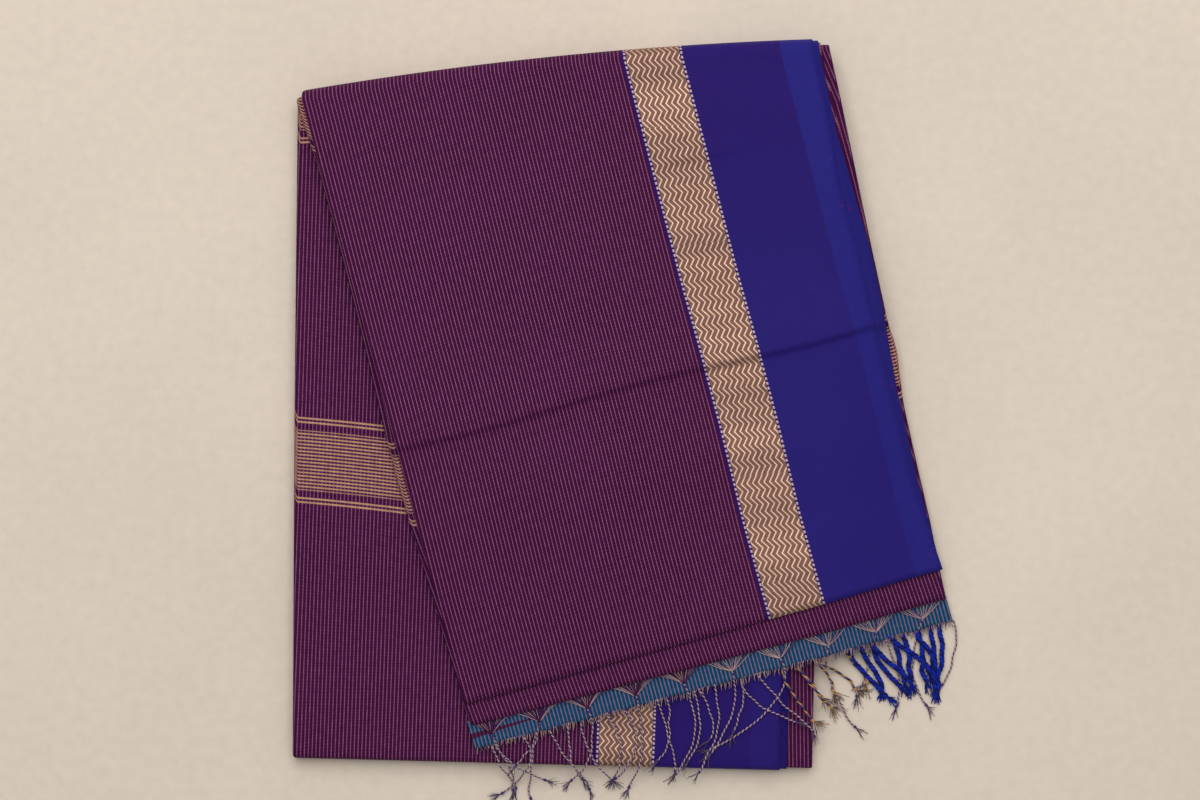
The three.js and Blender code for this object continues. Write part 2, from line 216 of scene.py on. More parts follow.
edgeNames = ("at", "left", "centreFold", "selvedgeA", "selvedgeB", "border")
edgeRows = (  # border: where the woven border would end, from which its bands are measured
    (0.0, -1.0, 279.5, 277.5, 278.0, 278.0),
    (0.14, -2.0, 282.4, 278.0, 279.0, 279.0),
    (0.25, -3.0, 283.8, 279.0, 280.0, 280.0),
    (0.35, -4.3, 285.2, 280.0, 281.0, 281.0),
    (0.45, -4.5, 289.6, 280.0, 281.0, 281.0),
    (0.5, -3.9, 288.4, 280.0, 281.0, 281.0),
    (0.65, -2.2, 290.8, 282.0, 283.0, 283.0),
    (0.76, -1.9, 292.8, 282.0, 283.0, 283.0),
    (0.9, -1.5, 295.4, 283.0, 284.0, 284.0),
    (1.0, -3.5, 297.0, 283.0, 284.0, 284.0),
    (1.5, -2.3, 296.0, 283.0, 281.0, 281.0),
    (2.0, 0.0, 296.0, 281.2, 277.2, 277.2),
    (2.5, -1.0, 294.0, 285.0, 281.0, 281.0),
    (3.0, 0.0, 292.0, 290.5, 287.5, 285.7),
    (3.15, 0.0, 290.0, 287.6, 285.0, 285.0),
    (3.26, 0.0, 288.0, 288.2, 281.0, 284.5),
    (3.4, 0.0, 286.0, 288.8, 281.4, 284.0),
    (3.5, 0.0, 284.5, 287.0, 280.0, 284.2),
    (3.65, 0.0, 282.0, 283.0, 278.8, 284.0),
    (3.83, 0.0, 280.5, 281.0, 278.4, 282.6),
    (4.0, 0.0, 280.0, 281.0, 281.6, 282.8),
)
edgeTable = {name: np.array(column) for name, column in zip(edgeNames, zip(*edgeRows))}

creases = table(("along", "height", "before", "after", "start", "end"), (
    (209, 2.3, 26, 2.6, -60, 300),  # the storage crease right across the upper flap
    (213, -0.6, 3, 18, -60, 300),
    (93, 0.8, 9, 2.2, 186, 226),  # shorter ones over the zigzag band
    (294, 0.5, 12, 3.5, 180, 236),
    (150, 0.3, 18, 14, 120, 300),
    (258, 0.35, 16, 12, 140, 300),
))


def directionOf(line):
    turn = math.radians(line["turn"])
    return math.cos(turn), math.sin(turn)


def pointOn(line, across):
    alongX, alongY = directionOf(line)
    share = across / lie["bowLength"]
    bow = 4 * line["bow"] * share * (1 - share)
    run = across * line["stretch"]
    return line["x"] + alongX * run - alongY * bow, line["y"] + alongY * run + alongX * bow


def upperPoint(across, share, beyond):
    foldX, foldY = pointOn(lie["top"], across)
    endX, endY = pointOn(lie["innerEnd"], across)
    alongX, alongY = directionOf(lie["innerEnd"])
    return lerp(foldX, endX, share) + alongY * beyond, lerp(foldY, endY, share) - alongX * beyond


def lowerPoint(across, share):
    foldX, foldY = pointOn(lie["top"], across)
    endX, endY = pointOn(lie["bottom"], across)
    return lerp(foldX, endX, share), lerp(foldY, endY, share)


def endPoint(across, beyond):
    return upperPoint(across, 1.0, beyond + lie["endSlant"] * across)


def pastLowerRight(x, y):
    topX, topY = pointOn(lie["top"], lie["lowerRight"])
    lowX, lowY = pointOn(lie["bottom"], lie["lowerRight"])
    length = math.hypot(lowX - topX, lowY - topY)
    return ((x - topX) * (topY - lowY) + (y - topY) * (lowX - topX)) / length


def pastLowerEnd(x, y):
    alongX, alongY = directionOf(lie["bottom"])
    line = lie["bottom"]
    return (x - line["x"]) * alongY - (y - line["y"]) * alongX - stripHeight * sheet["flatten"]


def bedHeight(x, y):  # what the upper flap lies on
    start = lie["dropClear"]
    return flapHeight * (1 - easeOver(pastLowerRight(x, y), start, start + lie["dropReach"]))


def strandFloor(x, y):  # what a strand lies on
    right = 1 - easeOver(pastLowerRight(x, y), 0, lie["strandDrop"])
    end = 1 - easeOver(pastLowerEnd(x, y), 0, lie["strandDrop"])
    return restGap + flapHeight * right * end


def upperRelief(x, y):  # creases and soft waves of the upper flap
    turn = math.radians(lie["flapTurn"])
    fromX, fromY = x - lie["flapCorner"][0], y - lie["flapCorner"][1]
    across = fromX * math.cos(turn) + fromY * math.sin(turn)
    along = fromX * math.sin(turn) - fromY * math.cos(turn)
    height = 0
    for crease in creases:
        shown = easeOver(across, crease["start"] - 20, crease["start"] + 20)
        shown = shown * (1 - easeOver(across, crease["end"] - 20, crease["end"] + 20))
        centre = crease["along"] + 1.5 * np.sin(across / 31)
        height = height + crease["height"] * shown * hill(along, centre, crease["before"], crease["after"])
    waves = 0.22 * np.sin(along / 8.1 + 0.9 * np.sin(across / 60)) * easeOver(across, 120, 220)
    waves = waves + 0.25 * np.sin(along / 19 + across / 90) + 0.15 * np.sin(across / 17 + along / 70)
    return height + 0.4 + waves


def lowerRelief(x, y):
    return 0.2 * np.sin(y / 23 + x / 80) + 0.12 * np.sin(x / 15 + y / 60)


# the strip's section: panels 1, 2, 3 and 4 with the turns between them

def edgesAt(at):
    return {name: float(np.interp(at, edgeTable["at"], edgeTable[name])) for name in edgeNames[1:]}


def panelPart(start, end, layer, cells, reach, weave):
    across = np.linspace(start, end, cells + 1)
    size = len(across)
    way = 1.0 if end > start else -1.0
    return dict(across=across, height=np.full(size, (layer + 0.5) * sheet["pitch"]),
                sideAcross=np.zeros(size), sideHeight=np.full(size, way), reach=np.full(size, reach),
                weave=np.interp(across, sorted((start, end)), weave if end > start else weave[::-1]))


def turnPart(across, height, radius, start, end, steps, reach, weave):
    share = np.arange(1, steps) / steps
    angle = lerp(start, end, share)
    out = 1.0 if end < start else -1.0
    return dict(across=across + radius * np.cos(angle), height=height + radius * np.sin(angle),
                sideAcross=out * np.cos(angle), sideHeight=out * np.sin(angle),
                reach=lerp(reach[0], reach[1], share), weave=lerp(weave[0], weave[1], share))


def sectionAt(at):
    edges = edgesAt(at)
    pitch, quarter = sheet["pitch"], math.pi / 2
    left = edges["left"] + 0.5 + 1.5 * pitch
    centre = edges["centreFold"] - 0.5 - 0.5 * pitch
    reach1, reach2, reach3, reach4 = sheet["reach"]
    cells1, cells2, cells3, cells4 = sheet["columns"]
    # distance from the nearest selvedge, which places the woven bands
    borderA, borderB = edges["selvedgeA"] - left, edges["border"] - left
    small, wide = sheet["smallTurn"], sheet["wideTurn"]
    middleA, middleB = borderA + centre - left + small, borderB + centre - left + wide
    edgeB = edges["border"] - edges["selvedgeB"]
    turn1, turn2, turn3 = sheet["turnCells"]
    parts = (
        panelPart(edges["selvedgeA"], left, 2, cells1, reach1, (0.0, borderA)),
        turnPart(left, 2 * pitch, 0.5 * pitch, quarter, 3 * quarter, turn1, (reach1, reach2),
                 (borderA, borderA + small)),
        panelPart(left, centre, 1, cells2, reach2, (borderA + small, middleA)),
        turnPart(centre, pitch, 0.5 * pitch, quarter, -quarter, turn2, (reach2, reach3),
                 (middleA, middleB)),
        panelPart(centre, left, 0, cells3, reach3, (middleB, borderB + wide)),
        turnPart(left, 2 * pitch, 1.5 * pitch, 3 * quarter, quarter, turn3, (reach3, reach4),
                 (borderB + wide, borderB)),
        panelPart(left, edges["selvedgeB"], 3, cells4, reach4, (borderB, edgeB)),
    )
    return {name: np.concatenate([part[name] for part in parts]) for name in parts[0]}


def sweepRows():
    rows = []
    share = sheet["legShare"]
    for past in (1.0, 0.75, 0.5, 0.25):
        rows.append(dict(kind="upper", outer=False, share=1.0, past=past, at=(1 - share) * (1 - past)))
    for step in np.linspace(1, 0, sheet["upperRows"], endpoint=False):
        rows.append(dict(kind="upper", outer=False, share=step, past=0.0, at=1 - share * step))
    innerTurn, outerTurn = (np.linspace(0, math.pi, count) for count in sheet["foldRows"])
    for angle in innerTurn:
        rows.append(dict(kind="top", outer=False, angle=angle, at=1.0))
    for step in np.linspace(0, 1, sheet["lowerRows"] + 1)[1:-1]:
        rows.append(dict(kind="lower", outer=False, share=step, at=1 + step))
    for angle in innerTurn:
        rows.append(dict(kind="bottom", outer=False, angle=angle, at=2.0))
    for step in np.linspace(1, 0, sheet["underRows"] + 1)[1:-1]:
        rows.append(dict(kind="lower", outer=True, share=step, at=3 - step))
    for angle in outerTurn[::-1]:
        rows.append(dict(kind="top", outer=True, angle=angle, at=3.0))
    closer = [np.linspace(start, end, count + 1)[1:] for start, end, count in sheet["topRows"]]
    for step in np.concatenate(closer):  # rows lie closer together over the creases
        rows.append(dict(kind="upper", outer=True, share=step, past=0.0, at=3 + step))
    return rows


def placeInSpace(row, across, height, reach):
    if row["kind"] == "upper":
        x, y = upperPoint(across, row["share"], row["past"] * (reach + lie["endSlant"] * across))
        press = 1 - sheet["press"] * easeOver(row["share"], sheet["pressFrom"], 1)
        lift = stripHeight + height * press if row["outer"] else stripHeight - height
        relief = upperRelief(x, y) * easeOver(row["share"], 0, 0.1)
        return x, y, bedHeight(x, y) + lift + relief
    if row["kind"] == "lower":
        x, y = lowerPoint(across, row["share"])
        ends = min(easeOver(row["share"], 0, 0.1), 1 - easeOver(row["share"], 0.9, 1))
        relief = 0 if row["outer"] else lowerRelief(x, y) * ends
        return x, y, (stripHeight - height if row["outer"] else stripHeight + height) + relief
    line = lie[row["kind"]]
    alongX, alongY = directionOf(line)
    x, y = pointOn(line, across)
    if row["kind"] == "top":
        radius = stripHeight + height if row["outer"] else stripHeight - height
        axis, way = flapHeight, 1
    else:
        radius, axis, way = height, stripHeight, -1
    out = way * radius * math.sin(row["angle"]) * sheet["flatten"]
    return x - alongY * out, y + alongX * out, axis + radius * math.cos(row["angle"])


def toModel(points):  # millimetres on the table to metres in the part's frame
    shift = np.array([*lie["centre"], restGap])
    return (np.asarray(points, dtype=float) - shift) * mm


def meshPiece(name, points, faces, material, uv=None, tones=None):
    mesh = bpy.data.meshes.new(name)
    mesh.from_pydata(points.tolist(), [], faces.tolist())
    mesh.polygons.foreach_set("use_smooth", np.ones(len(mesh.polygons), dtype=bool))
    corners = np.empty(len(mesh.loops), dtype=np.int32)
    mesh.loops.foreach_get("vertex_index", corners)
    if uv is not None:
        layer = mesh.uv_layers.new(name="weave")
        layer.data.foreach_set("uv", np.asarray(uv)[corners].astype(np.float32).ravel())
    if tones is not None:
        layer = mesh.color_attributes.new("tone", "FLOAT_COLOR", "POINT")
        layer.data.foreach_set("color", np.asarray(tones, dtype=np.float32).ravel())
    mesh.update()
    piece = bpy.data.objects.new(name, mesh)
    bpy.context.scene.collection.objects.link(piece)
    mesh.materials.append(material)
    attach(piece, "root")
    return piece


def closedSheet(upper, lower):  # faces of two grids of points, joined round their rim
    rowCount, columnCount = upper.shape[:2]
    index = np.arange(rowCount * columnCount).reshape(rowCount, columnCount)
    top = np.stack([index[:-1, :-1], index[:-1, 1:], index[1:, 1:], index[1:, :-1]], -1).reshape(-1, 4)
    low = top[:, ::-1] + index.size
    rim = np.concatenate([index[0, :-1], index[:-1, -1], index[-1, :0:-1], index[:0:-1, 0]])
    after = np.roll(rim, -1)
    wall = np.stack([after, rim, rim + index.size, after + index.size], -1)
    faces = np.concatenate([top, low, wall])
    points = np.concatenate([upper.reshape(-1, 3), lower.reshape(-1, 3)])
    first, second, third = points[faces[:, 0]], points[faces[:, 1]], points[faces[:, 2]]
    fourth = points[faces[:, 3]]
    volume = np.einsum("ij,ij->i", first, np.cross(second, third) + np.cross(third, fourth)).sum()
    return points, faces if volume > 0 else faces[:, ::-1]


def clothMesh():
    rows = sweepRows()
    sides = {1: [], -1: []}
    weave = []
    for row in rows:
        section = sectionAt(row["at"])
        weave.append(section["weave"])
        for sign in sides:
            half = sign * sheet["thickness"] / 2
            across = section["across"] + half * section["sideAcross"]
            height = section["height"] + half * section["sideHeight"]
            sides[sign].append(np.stack(placeInSpace(row, across, height, section["reach"]), -1))
    upper, lower = (np.array(sides[sign]) for sign in (1, -1))
    middle = (upper + lower) / 2
    length = np.linalg.norm(np.diff(middle, axis=0), axis=2)
    along = np.concatenate([np.zeros((1, length.shape[1])), np.cumsum(length, axis=0)])
    at = np.array([row["at"] for row in rows])[:, None]
    skewed = easeOver(at, 1, 1.3) * (1 - easeOver(at, 1.7, 2))
    along += sheet["weaveStart"] - sheet["weftSkew"] * skewed * (upper[:, :, 0] + sheet["skewReach"])
    uv = np.stack([np.array(weave), along], -1).reshape(-1, 2) * mm
    points, faces = closedSheet(upper, lower)
    return toModel(points), faces, np.concatenate([uv, uv])


# silk of the cloth

silk = {
    "stripePitch": 2.17,
    "stripeWidth": 0.42,
    "crossCentres": (155, 374, 578),
    "crossHalf": 17.0,
    "crossPitch": 2.0,
    "crossLine": 0.85,
    "crossPair": ((21.1, 22.1), (23.4, 24.4)),  # two lines on each side of a cross band
    "borderEnd": 71.3,
    "zariStart": 73.0,
    "zariEnd": 103.1,
    "dots": (72.1, 103.95),
    "dotPitch": 2.8,
    "dotLength": 1.5,
    "dotHalf": 0.55,
    "edgeLine": (104.7, 106.2),
    "zigzagLength": 8.35,
    "zigzagDepth": 3.0,
    "zigzagSpacing": 3.18,
    "zigzagLine": 0.8,
    "slipEvery": 68,  # now and then the zigzag is out of step
    "slipBy": 5.2,
    "selvedgeLight": (-9.0, 17.0),
    "fleckAcross": (1.5, 6.0),
    "lightFrom": (900, 1000),  # the stripe is clearer on the upper flap, and the blue lighter at its end
    "paleFrom": (1150, 1420),
    # painted sheen on the zigzag band is made lighter from here on
    "paintedSheenFrom": (1250, 1450),
    "purple": silkColour(68, 12, 62),
    "purpleDeep": silkColour(60, 7, 54),
    "stripe": silkColour(156, 102, 130),
    "blue": silkColour(43, 26, 108),
    "blueDeep": silkColour(39, 21, 99),
    "blueLight": silkColour(41, 38, 126),
    "edgeBlue": silkColour(50, 18, 88),
    "fleck": silkColour(104, 20, 84),
    "zariGround": silkColour(122, 88, 80),
    "zariLine": silkColour(240, 204, 176),
    "dot": silkColour(194, 176, 184),
    "crossGold": silkColour(204, 154, 122),
}


def clothFinish():
    finish = Finish("striped silk with woven border")
    flat, across, along = finish.weaveMap()
    slub = finish.noise(flat, 260.0)
    patch = finish.noise(flat, 18.0)

    # purple ground with fine stripes
    stripe = finish.lines(across, silk["stripePitch"], silk["stripeWidth"], 0.22)
    broken = finish.step(slub, 0.2, 0.75)
    dashes = finish.lines(along + 7 * patch, 1.9, 1.2, 0.3)
    ground = finish.mix(patch, silk["purpleDeep"], silk["purple"])
    body = finish.mix(stripe * (0.3 + 0.35 * broken + 0.35 * dashes), ground, silk["stripe"])

    # gold cross bands
    crossParts = []
    for centre in silk["crossCentres"]:
        away = abs(along - centre)
        within = 1 - finish.step(away, silk["crossHalf"] - 0.3, silk["crossHalf"] + 0.3)
        crossParts.append(within * finish.lines(along - centre, silk["crossPitch"], silk["crossLine"], 0.25))
        crossParts.extend(finish.band(away, *line, 0.25) for line in silk["crossPair"])
    cross = sum(crossParts)
    body = finish.mix(cross * (0.65 + 0.3 * broken), body, silk["crossGold"])

    # blue border with a lighter stripe near the selvedge
    light = finish.band(across, *silk["selvedgeLight"], 0.5)
    light = light * (0.25 + 0.6 * finish.step(along, *silk["lightFrom"]))
    light = light.math("MAXIMUM", 0.5 * finish.step(along, *silk["paleFrom"]))
    blue = finish.mix(patch, silk["blueDeep"], silk["blue"])
    blue = finish.mix(light, blue, silk["blueLight"])
    flecks = finish.step(slub, 0.68, 0.78) * finish.band(across, *silk["fleckAcross"], 1.0)
    blue = finish.mix(flecks, blue, silk["fleck"])

    # gold zigzag band
    slip = (along / silk["slipEvery"]).math("FLOOR") * silk["slipBy"]
    zig = finish.zigzag(along - slip, silk["zigzagLength"]) * silk["zigzagDepth"]
    gold = finish.lines(across + zig, silk["zigzagSpacing"], silk["zigzagLine"], 0.26)
    zariGround = finish.shade(silk["zariGround"][:3], 0.75 + 0.5 * slub)
    zari = finish.mix(gold * (0.7 + 0.3 * broken), zariGround, silk["zariLine"])
    # painted sheen: the band's colour is scaled up and down along its length in place of the glint of its
    # metal thread
    sheenZone = finish.node("ShaderNodeTexNoise", {"noise_dimensions": "1D"}, {"W": along, "Scale": 0.035})
    paintedSheen = 0.6 + 0.8 * sheenZone + 0.16 * finish.step(along, *silk["paintedSheenFrom"])  # painted sheen: lighter and darker stretches along the band, and lighter towards its end
    zari = finish.shade(zari, paintedSheen)

    inZari = finish.band(across, silk["zariStart"], silk["zariEnd"], 0.15)
    inBorder = 1 - finish.step(across, silk["borderEnd"] - 0.1, silk["borderEnd"] + 0.1)
    nearZari = finish.band(across, silk["borderEnd"], silk["edgeLine"][1], 0.1)
    colour = finish.mix(nearZari, body, silk["edgeBlue"])
    colour = finish.mix(inBorder, colour, blue)
    colour = finish.mix(inZari, colour, zari)
    half = silk["dotHalf"]
    dots = sum(finish.band(across, place - half, place + half, 0.15) for place in silk["dots"])
    dots = dots * finish.lines(along, silk["dotPitch"], silk["dotLength"], 0.25)
    colour = finish.mix(dots, colour, silk["dot"])
    colour = finish.shade(colour, 0.9 + 0.2 * slub)

    metal = inZari * (0.25 + 0.35 * gold)
    rough = 0.58 - 0.12 * inBorder - 0.16 * inZari + 0.1 * slub
    relief = finish.threads(across, along) * 0.5 + stripe * 0.7 + inZari * (0.8 + gold) + dots * 1.5 + cross
    return finish.close({
        "Base Color": colour,
        "Roughness": rough,
        "Metallic": metal,
        "Normal": finish.bump(relief, 0.35, 0.0002),
        "Specular IOR Level": 0.05,
        "Sheen Weight": 0.03,
        "Sheen Roughness": 0.4,
        "Sheen Tint": (0.6, 0.25, 0.6, 1.0),
    })


points, faces, weave = clothMesh()
sariCloth = meshPiece("sariCloth", points, faces, clothFinish(), weave)
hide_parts("sari_cloth")
print("cloth:", len(points), "points,", len(faces), "faces")


# heading band and fringe

heading = {
    "start": 9.8,
    "end": 26.0,
    "left": -2.0,
    "right": 279.5,
    "height": (3.25, 2.9),  # of its middle, over what the flap lies on
    "thickness": 0.62,
    "teal": silkColour(4, 72, 114),
    "tealDeep": silkColour(1, 54, 90),
    "thread": silkColour(156, 128, 144),
    "combLength": (2.6, 5.2),
    "sliverAcross": 48,  # a sliver of the purple panel shows over the band up to here
    "sliverStart": 17.2,
    "strandHeight": 2.7,
}

tones = {
    "plum": silkColour(64, 18, 60),
    "purple": silkColour(62, 30, 86),
    "violet": silkColour(76, 56, 116),
    "mauve": silkColour(168, 130, 144),
    "cream": silkColour(186, 160, 152),
    "gold": silkColour(204, 152, 98),
    "black": silkColour(32, 26, 38),
    "grey": silkColour(112, 98, 96),
    "blue": silkColour(16, 36, 150),
    "blueDark": silkColour(8, 20, 92),
}

knotted = {
    "first": 9.5,
    "spacing": 28.2,
    "beyond": 20.6,
    "height": 4.1,
    "gatherHalf": 12.4,
    "gatherStart": 12.4,
    "gatherHeight": 4.75,
    "threads": 25,
    "sag": (0.9, 1.5),  # of the tight and the loose groups
    "plumHalf": 9,
    "loose": 5,  # from this knot on the threads are looser, and the heading shows between them
}

strandNames = ("across", "drift", "drop", "bulge", "kind")
knotStrands = table(strandNames[1:4], (  # one from each knot
    (12, 34, 4), (-5, 46, -3), (-9, 42, 6), (-4, 54, 5), (-5, 52, 8),
    (-13, 48, 5), (-40, 52, 12), (17, 48, -4), (-10, 38, 0), (2, 50, -6),
))
headingStrands = table(strandNames[:4], (
    (7.7, 14, 28, 1), (10.0, 28, 23, -2), (26.0, -13, 35, 9), (34.6, -13, 20, 2), (41.6, 24, 37, 2),
    (53.3, 7, 33, -2), (61.0, 17.6, 36, -3), (75.0, 4, 37.5, 7), (85.5, -5, 41, 9), (105.0, 10, 41.5, 3),
    (110.6, -5, 37.5, 4), (126.4, -3, 41, 5), (129.4, 6, 30, 5), (138.7, -9, 50.5, 5), (154.0, -5, 32, 3),
    (155.0, 31, 26, -6), (163.3, 32, 34, 3), (239.3, 7, 40, 5), (280.0, -7, 38, 4),
))
borderStrands = table(strandNames, (
    (179.0, 19, 35, -2, "mixed"), (184.0, 19, 23, 2, "mixed"), (187.5, 21, 30, -1, "mixed"),
    (194.3, 29.5, 22, 5, "mixed"), (199.0, 12, 24, 1, "mixed"), (212.4, 17, 23, 4, "mixed"),
    (218.9, 23, 32, -2, "blue"), (223.0, 16, 30, 3, "blue"), (228.8, 26, 26, 2, "blue"),
    (233.5, 17, 31, -3, "blue"), (238.8, 28, 24, 6, "blue"), (243.5, 8, 30, 2, "blue"),
    (249.3, 6, 33, 3, "blue"), (256.3, 13, 22, 2, "blue"), (262.0, 3, 34, -1, "blue"),
    (267.4, 3, 40, 1, "blue"), (273.3, -1, 42, 1, "blue"),
))
strandKinds = {
    "thin": dict(plies=("violet", "cream"), radius=0.35, turn=2.7,
                 tuft=("purple", "violet", "grey"), spread=3.0, ends=9),
    "mixed": dict(plies=("gold", "black", "violet", "grey"), radius=0.38, turn=6.5,
                  tuft=("grey", "gold", "black", "grey"), spread=6.0, ends=20),
    "blue": dict(plies=("blue", "blueDark", "blue"), radius=0.85, turn=7.5,
                 tuft=("blue", "blue", "blueDark"), spread=2.5, ends=11),
}
chance = random.Random(11)


class Yarn:  # gathers the tubes of one fringe
    def __init__(self):
        self.points, self.faces, self.tones = [], [], []
        self.count = 0

    def tube(self, path, radius, tone, sides=6):
        path = np.asarray(path, dtype=float)
        ahead = np.gradient(path, axis=0)
        ahead /= np.linalg.norm(ahead, axis=1, keepdims=True)
        side = np.cross(ahead, (0.05, 0.02, 1.0))
        side /= np.linalg.norm(side, axis=1, keepdims=True)
        up = np.cross(side, ahead)
        angle = 2 * np.pi * np.arange(sides) / sides
        ring = np.cos(angle)[None, :, None] * side[:, None] + np.sin(angle)[None, :, None] * up[:, None]
        radius = np.broadcast_to(radius, len(path))[:, None, None]
        points = (path[:, None] + ring * radius).reshape(-1, 3)
        index = np.arange(len(points)).reshape(len(path), sides)
        after = np.roll(index, -1, axis=1)
        walls = np.stack([index[:-1], after[:-1], after[1:], index[1:]], -1).reshape(-1, 4)
        quads = [(0, 1, 2, 3), (0, 3, 4, 5)][:sides // 2 - 1]
        caps = [index[0][list(quad)[::-1]] for quad in quads] + [index[-1][list(quad)] for quad in quads]
        self.points.append(points)
        self.faces.append(np.concatenate([walls, caps]) + self.count)
        fleck = np.array([chance.uniform(0.82, 1.12) for _ in path]).repeat(sides)[:, None]
        self.tones.append(np.concatenate([np.asarray(tone[:3]) * fleck, np.ones_like(fleck)], 1))
        self.count += len(points)

    def strand(self, path, kind, knot=True):
        path = np.asarray(path, dtype=float)
        run = np.concatenate([[0], np.cumsum(np.linalg.norm(np.diff(path, axis=0), axis=1))])
        steps = max(int(run[-1] / 0.9), 8)
        even = np.linspace(0, run[-1], steps)
        line = np.stack([np.interp(even, run, path[:, axis]) for axis in range(3)], -1)
        ahead = np.gradient(line, axis=0)
        ahead /= np.linalg.norm(ahead, axis=1, keepdims=True)
        side = np.cross(ahead, (0, 0, 1.0))
        side /= np.linalg.norm(side, axis=1, keepdims=True)
        up = np.cross(side, ahead)
        count = len(kind["plies"])
        start = chance.uniform(0, 6)
        for place, ply in enumerate(kind["plies"]):
            turn = (start + 2 * np.pi * (even / kind["turn"] + place / count))[:, None]
            wrapped = line + kind["radius"] * 0.85 * (np.cos(turn) * side + np.sin(turn) * up)
            swell = kind["radius"] * (1 + 0.12 * np.sin(even * 2.3 + place))
            self.tube(wrapped, swell, tones[ply])
        if knot:
            self.coil(line[-2], ahead[-1], kind)
        self.tuft(line[-1], ahead[-1], kind)

    def coil(self, centre, ahead, kind, size=1.0):  # a knot: the yarn wound round itself
        angle = np.linspace(0, 2 * np.pi * 2.5, 26)
        side = np.cross(ahead, (0, 0, 1.0))
        side /= np.linalg.norm(side)
        up = np.cross(side, ahead)
        wide = kind["radius"] * 1.75 * size
        path = (centre + np.outer(np.cos(angle) * wide, side) + np.outer(np.sin(angle) * wide * 0.8, up)
                + np.outer((angle / angle[-1] - 0.5) * kind["radius"] * 4, ahead))
        self.tube(path, kind["radius"] * 0.8, tones[kind["plies"][0]])

    def tuft(self, root, ahead, kind):
        for place in range(kind["ends"]):
            length = chance.uniform(3.5, 8.5)
            aside = chance.uniform(-1, 1) * kind["spread"]
            curl = chance.uniform(-1.5, 1.5)
            way = np.array([ahead[0], ahead[1], 0.0]) / math.hypot(ahead[0], ahead[1])
            across = np.array([-way[1], way[0], 0.0])
            bend = [(t, aside * t + curl * t * t) for t in np.linspace(0, 1, 6)]
            path = [root + way * length * t + across * sideways for t, sideways in bend]
            for point in path[1:]:
                point[2] = lerp(point[2], strandFloor(point[0], point[1]) + 0.35 + 0.1 * (place % 9), 0.8)
            tone = tones[kind["tuft"][place % len(kind["tuft"])]]
            self.tube(path, kind["radius"] * np.linspace(0.62, 0.3, 6), tone, 4)

    def piece(self, name, node):
        made = meshPiece(name, toModel(np.concatenate(self.points)), np.concatenate(self.faces),
                         threadLook, tones=np.concatenate(self.tones))
        return made


def strandPath(strand, kind, beyond, height, order):  # a cubic curve from the root, slightly wavy
    rootX, rootY = endPoint(strand["across"], beyond)
    rootHeight = bedHeight(rootX, rootY) + height
    drift, drop, bulge = strand["drift"], strand["drop"], strand["bulge"] * 1.33
    wave, phase = chance.uniform(0.3, 0.9), chance.uniform(0, 6)
    thick = kind["radius"] * 1.8
    path = []
    for t in np.linspace(0, 1, 40):
        pull, push = 3 * t * (1 - t) ** 2, 3 * t * t * (1 - t)
        x = rootX + (0.12 * drift + bulge) * pull + (0.7 * drift + bulge) * push + drift * t ** 3
        y = rootY - drop * (0.36 * pull + 0.74 * push + t ** 3)
        x += wave * (math.sin(t * 9 + phase) + 0.5 * math.sin(t * 21 + 2 * phase)) * min(t * 3, 1)
        lies = float(strandFloor(x, y)) + thick + 0.35 * (order % 3) * easeOver(t, 0.1, 0.4)
        path.append((x, y, lerp(rootHeight, lies, float(easeOver(t * drop, 0, 12)))))
    return path


def threadFinish():
    finish = Finish("twisted silk thread")
    tone = finish.node("ShaderNodeAttribute", {"attribute_name": "tone"})
    place = finish.node("ShaderNodeTexCoord", output=3)
    fibre = finish.noise(place, 1400.0)
    return finish.close({
        "Base Color": finish.shade(tone, 0.7 + 0.6 * fibre),
        "Roughness": 0.5 + 0.2 * fibre,
        "Normal": finish.bump(fibre, 0.5, 0.0003),
        "Specular IOR Level": 0.1,
        "Sheen Weight": 0.03,
    })


def headingFinish():
    finish = Finish("teal heading band")
    flat, across, beyond = finish.weaveMap()
    slub = finish.noise(flat, 420.0)
    teal = finish.mix(slub, heading["tealDeep"], heading["teal"])
    stripe = finish.lines(across, silk["stripePitch"], 0.6, 0.2)
    colour = finish.mix(stripe * (0.35 + 0.5 * slub), teal, heading["thread"])
    sliverEnd = heading["sliverStart"] + 0.1 + (heading["sliverAcross"] - across) * 0.062
    sliver = finish.band(beyond, heading["sliverStart"], sliverEnd, 0.25)
    sliver = sliver * (1 - finish.step(across, heading["sliverAcross"] - 4, heading["sliverAcross"]))
    colour = finish.mix(sliver, colour, finish.mix(stripe * 0.25, silk["purpleDeep"], silk["stripe"]))
    relief = finish.threads(across, beyond) * 0.5 + stripe
    return finish.close({
        "Base Color": finish.shade(colour, 0.85 + 0.3 * slub),
        "Roughness": 0.5 + 0.1 * slub,
        "Normal": finish.bump(relief, 0.4, 0.0002),
        "Specular IOR Level": 0.06,
        "Sheen Weight": 0.02,
    })


def headingMesh():
    across = np.linspace(heading["left"], heading["right"], 180)
    sides = {1: [], -1: []}
    weave = []
    for share in np.linspace(0, 1, 9):
        ragged = 0.25 * np.sin(across / 3.1) + 0.2 * np.sin(across / 1.3 + 1)
        beyond = lerp(heading["start"], heading["end"] + ragged, share)
        x, y = endPoint(across, beyond)
        ripple = 0.22 * np.sin(across / 4.5) * share
        z = bedHeight(x, y) + lerp(*heading["height"], share) + ripple
        for sign in sides:
            sides[sign].append(np.stack([x, y, z + sign * heading["thickness"] / 2], -1))
        weave.append(np.stack([across, beyond], -1))
    points, faces = closedSheet(np.array(sides[1]), np.array(sides[-1]))
    uv = np.array(weave).reshape(-1, 2) * mm
    return toModel(points), faces, np.concatenate([uv, uv])


threadLook = threadFinish()
points, faces, weave = headingMesh()
headingBand = meshPiece("headingBand", points, faces, headingFinish(), weave)
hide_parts("heading_band")

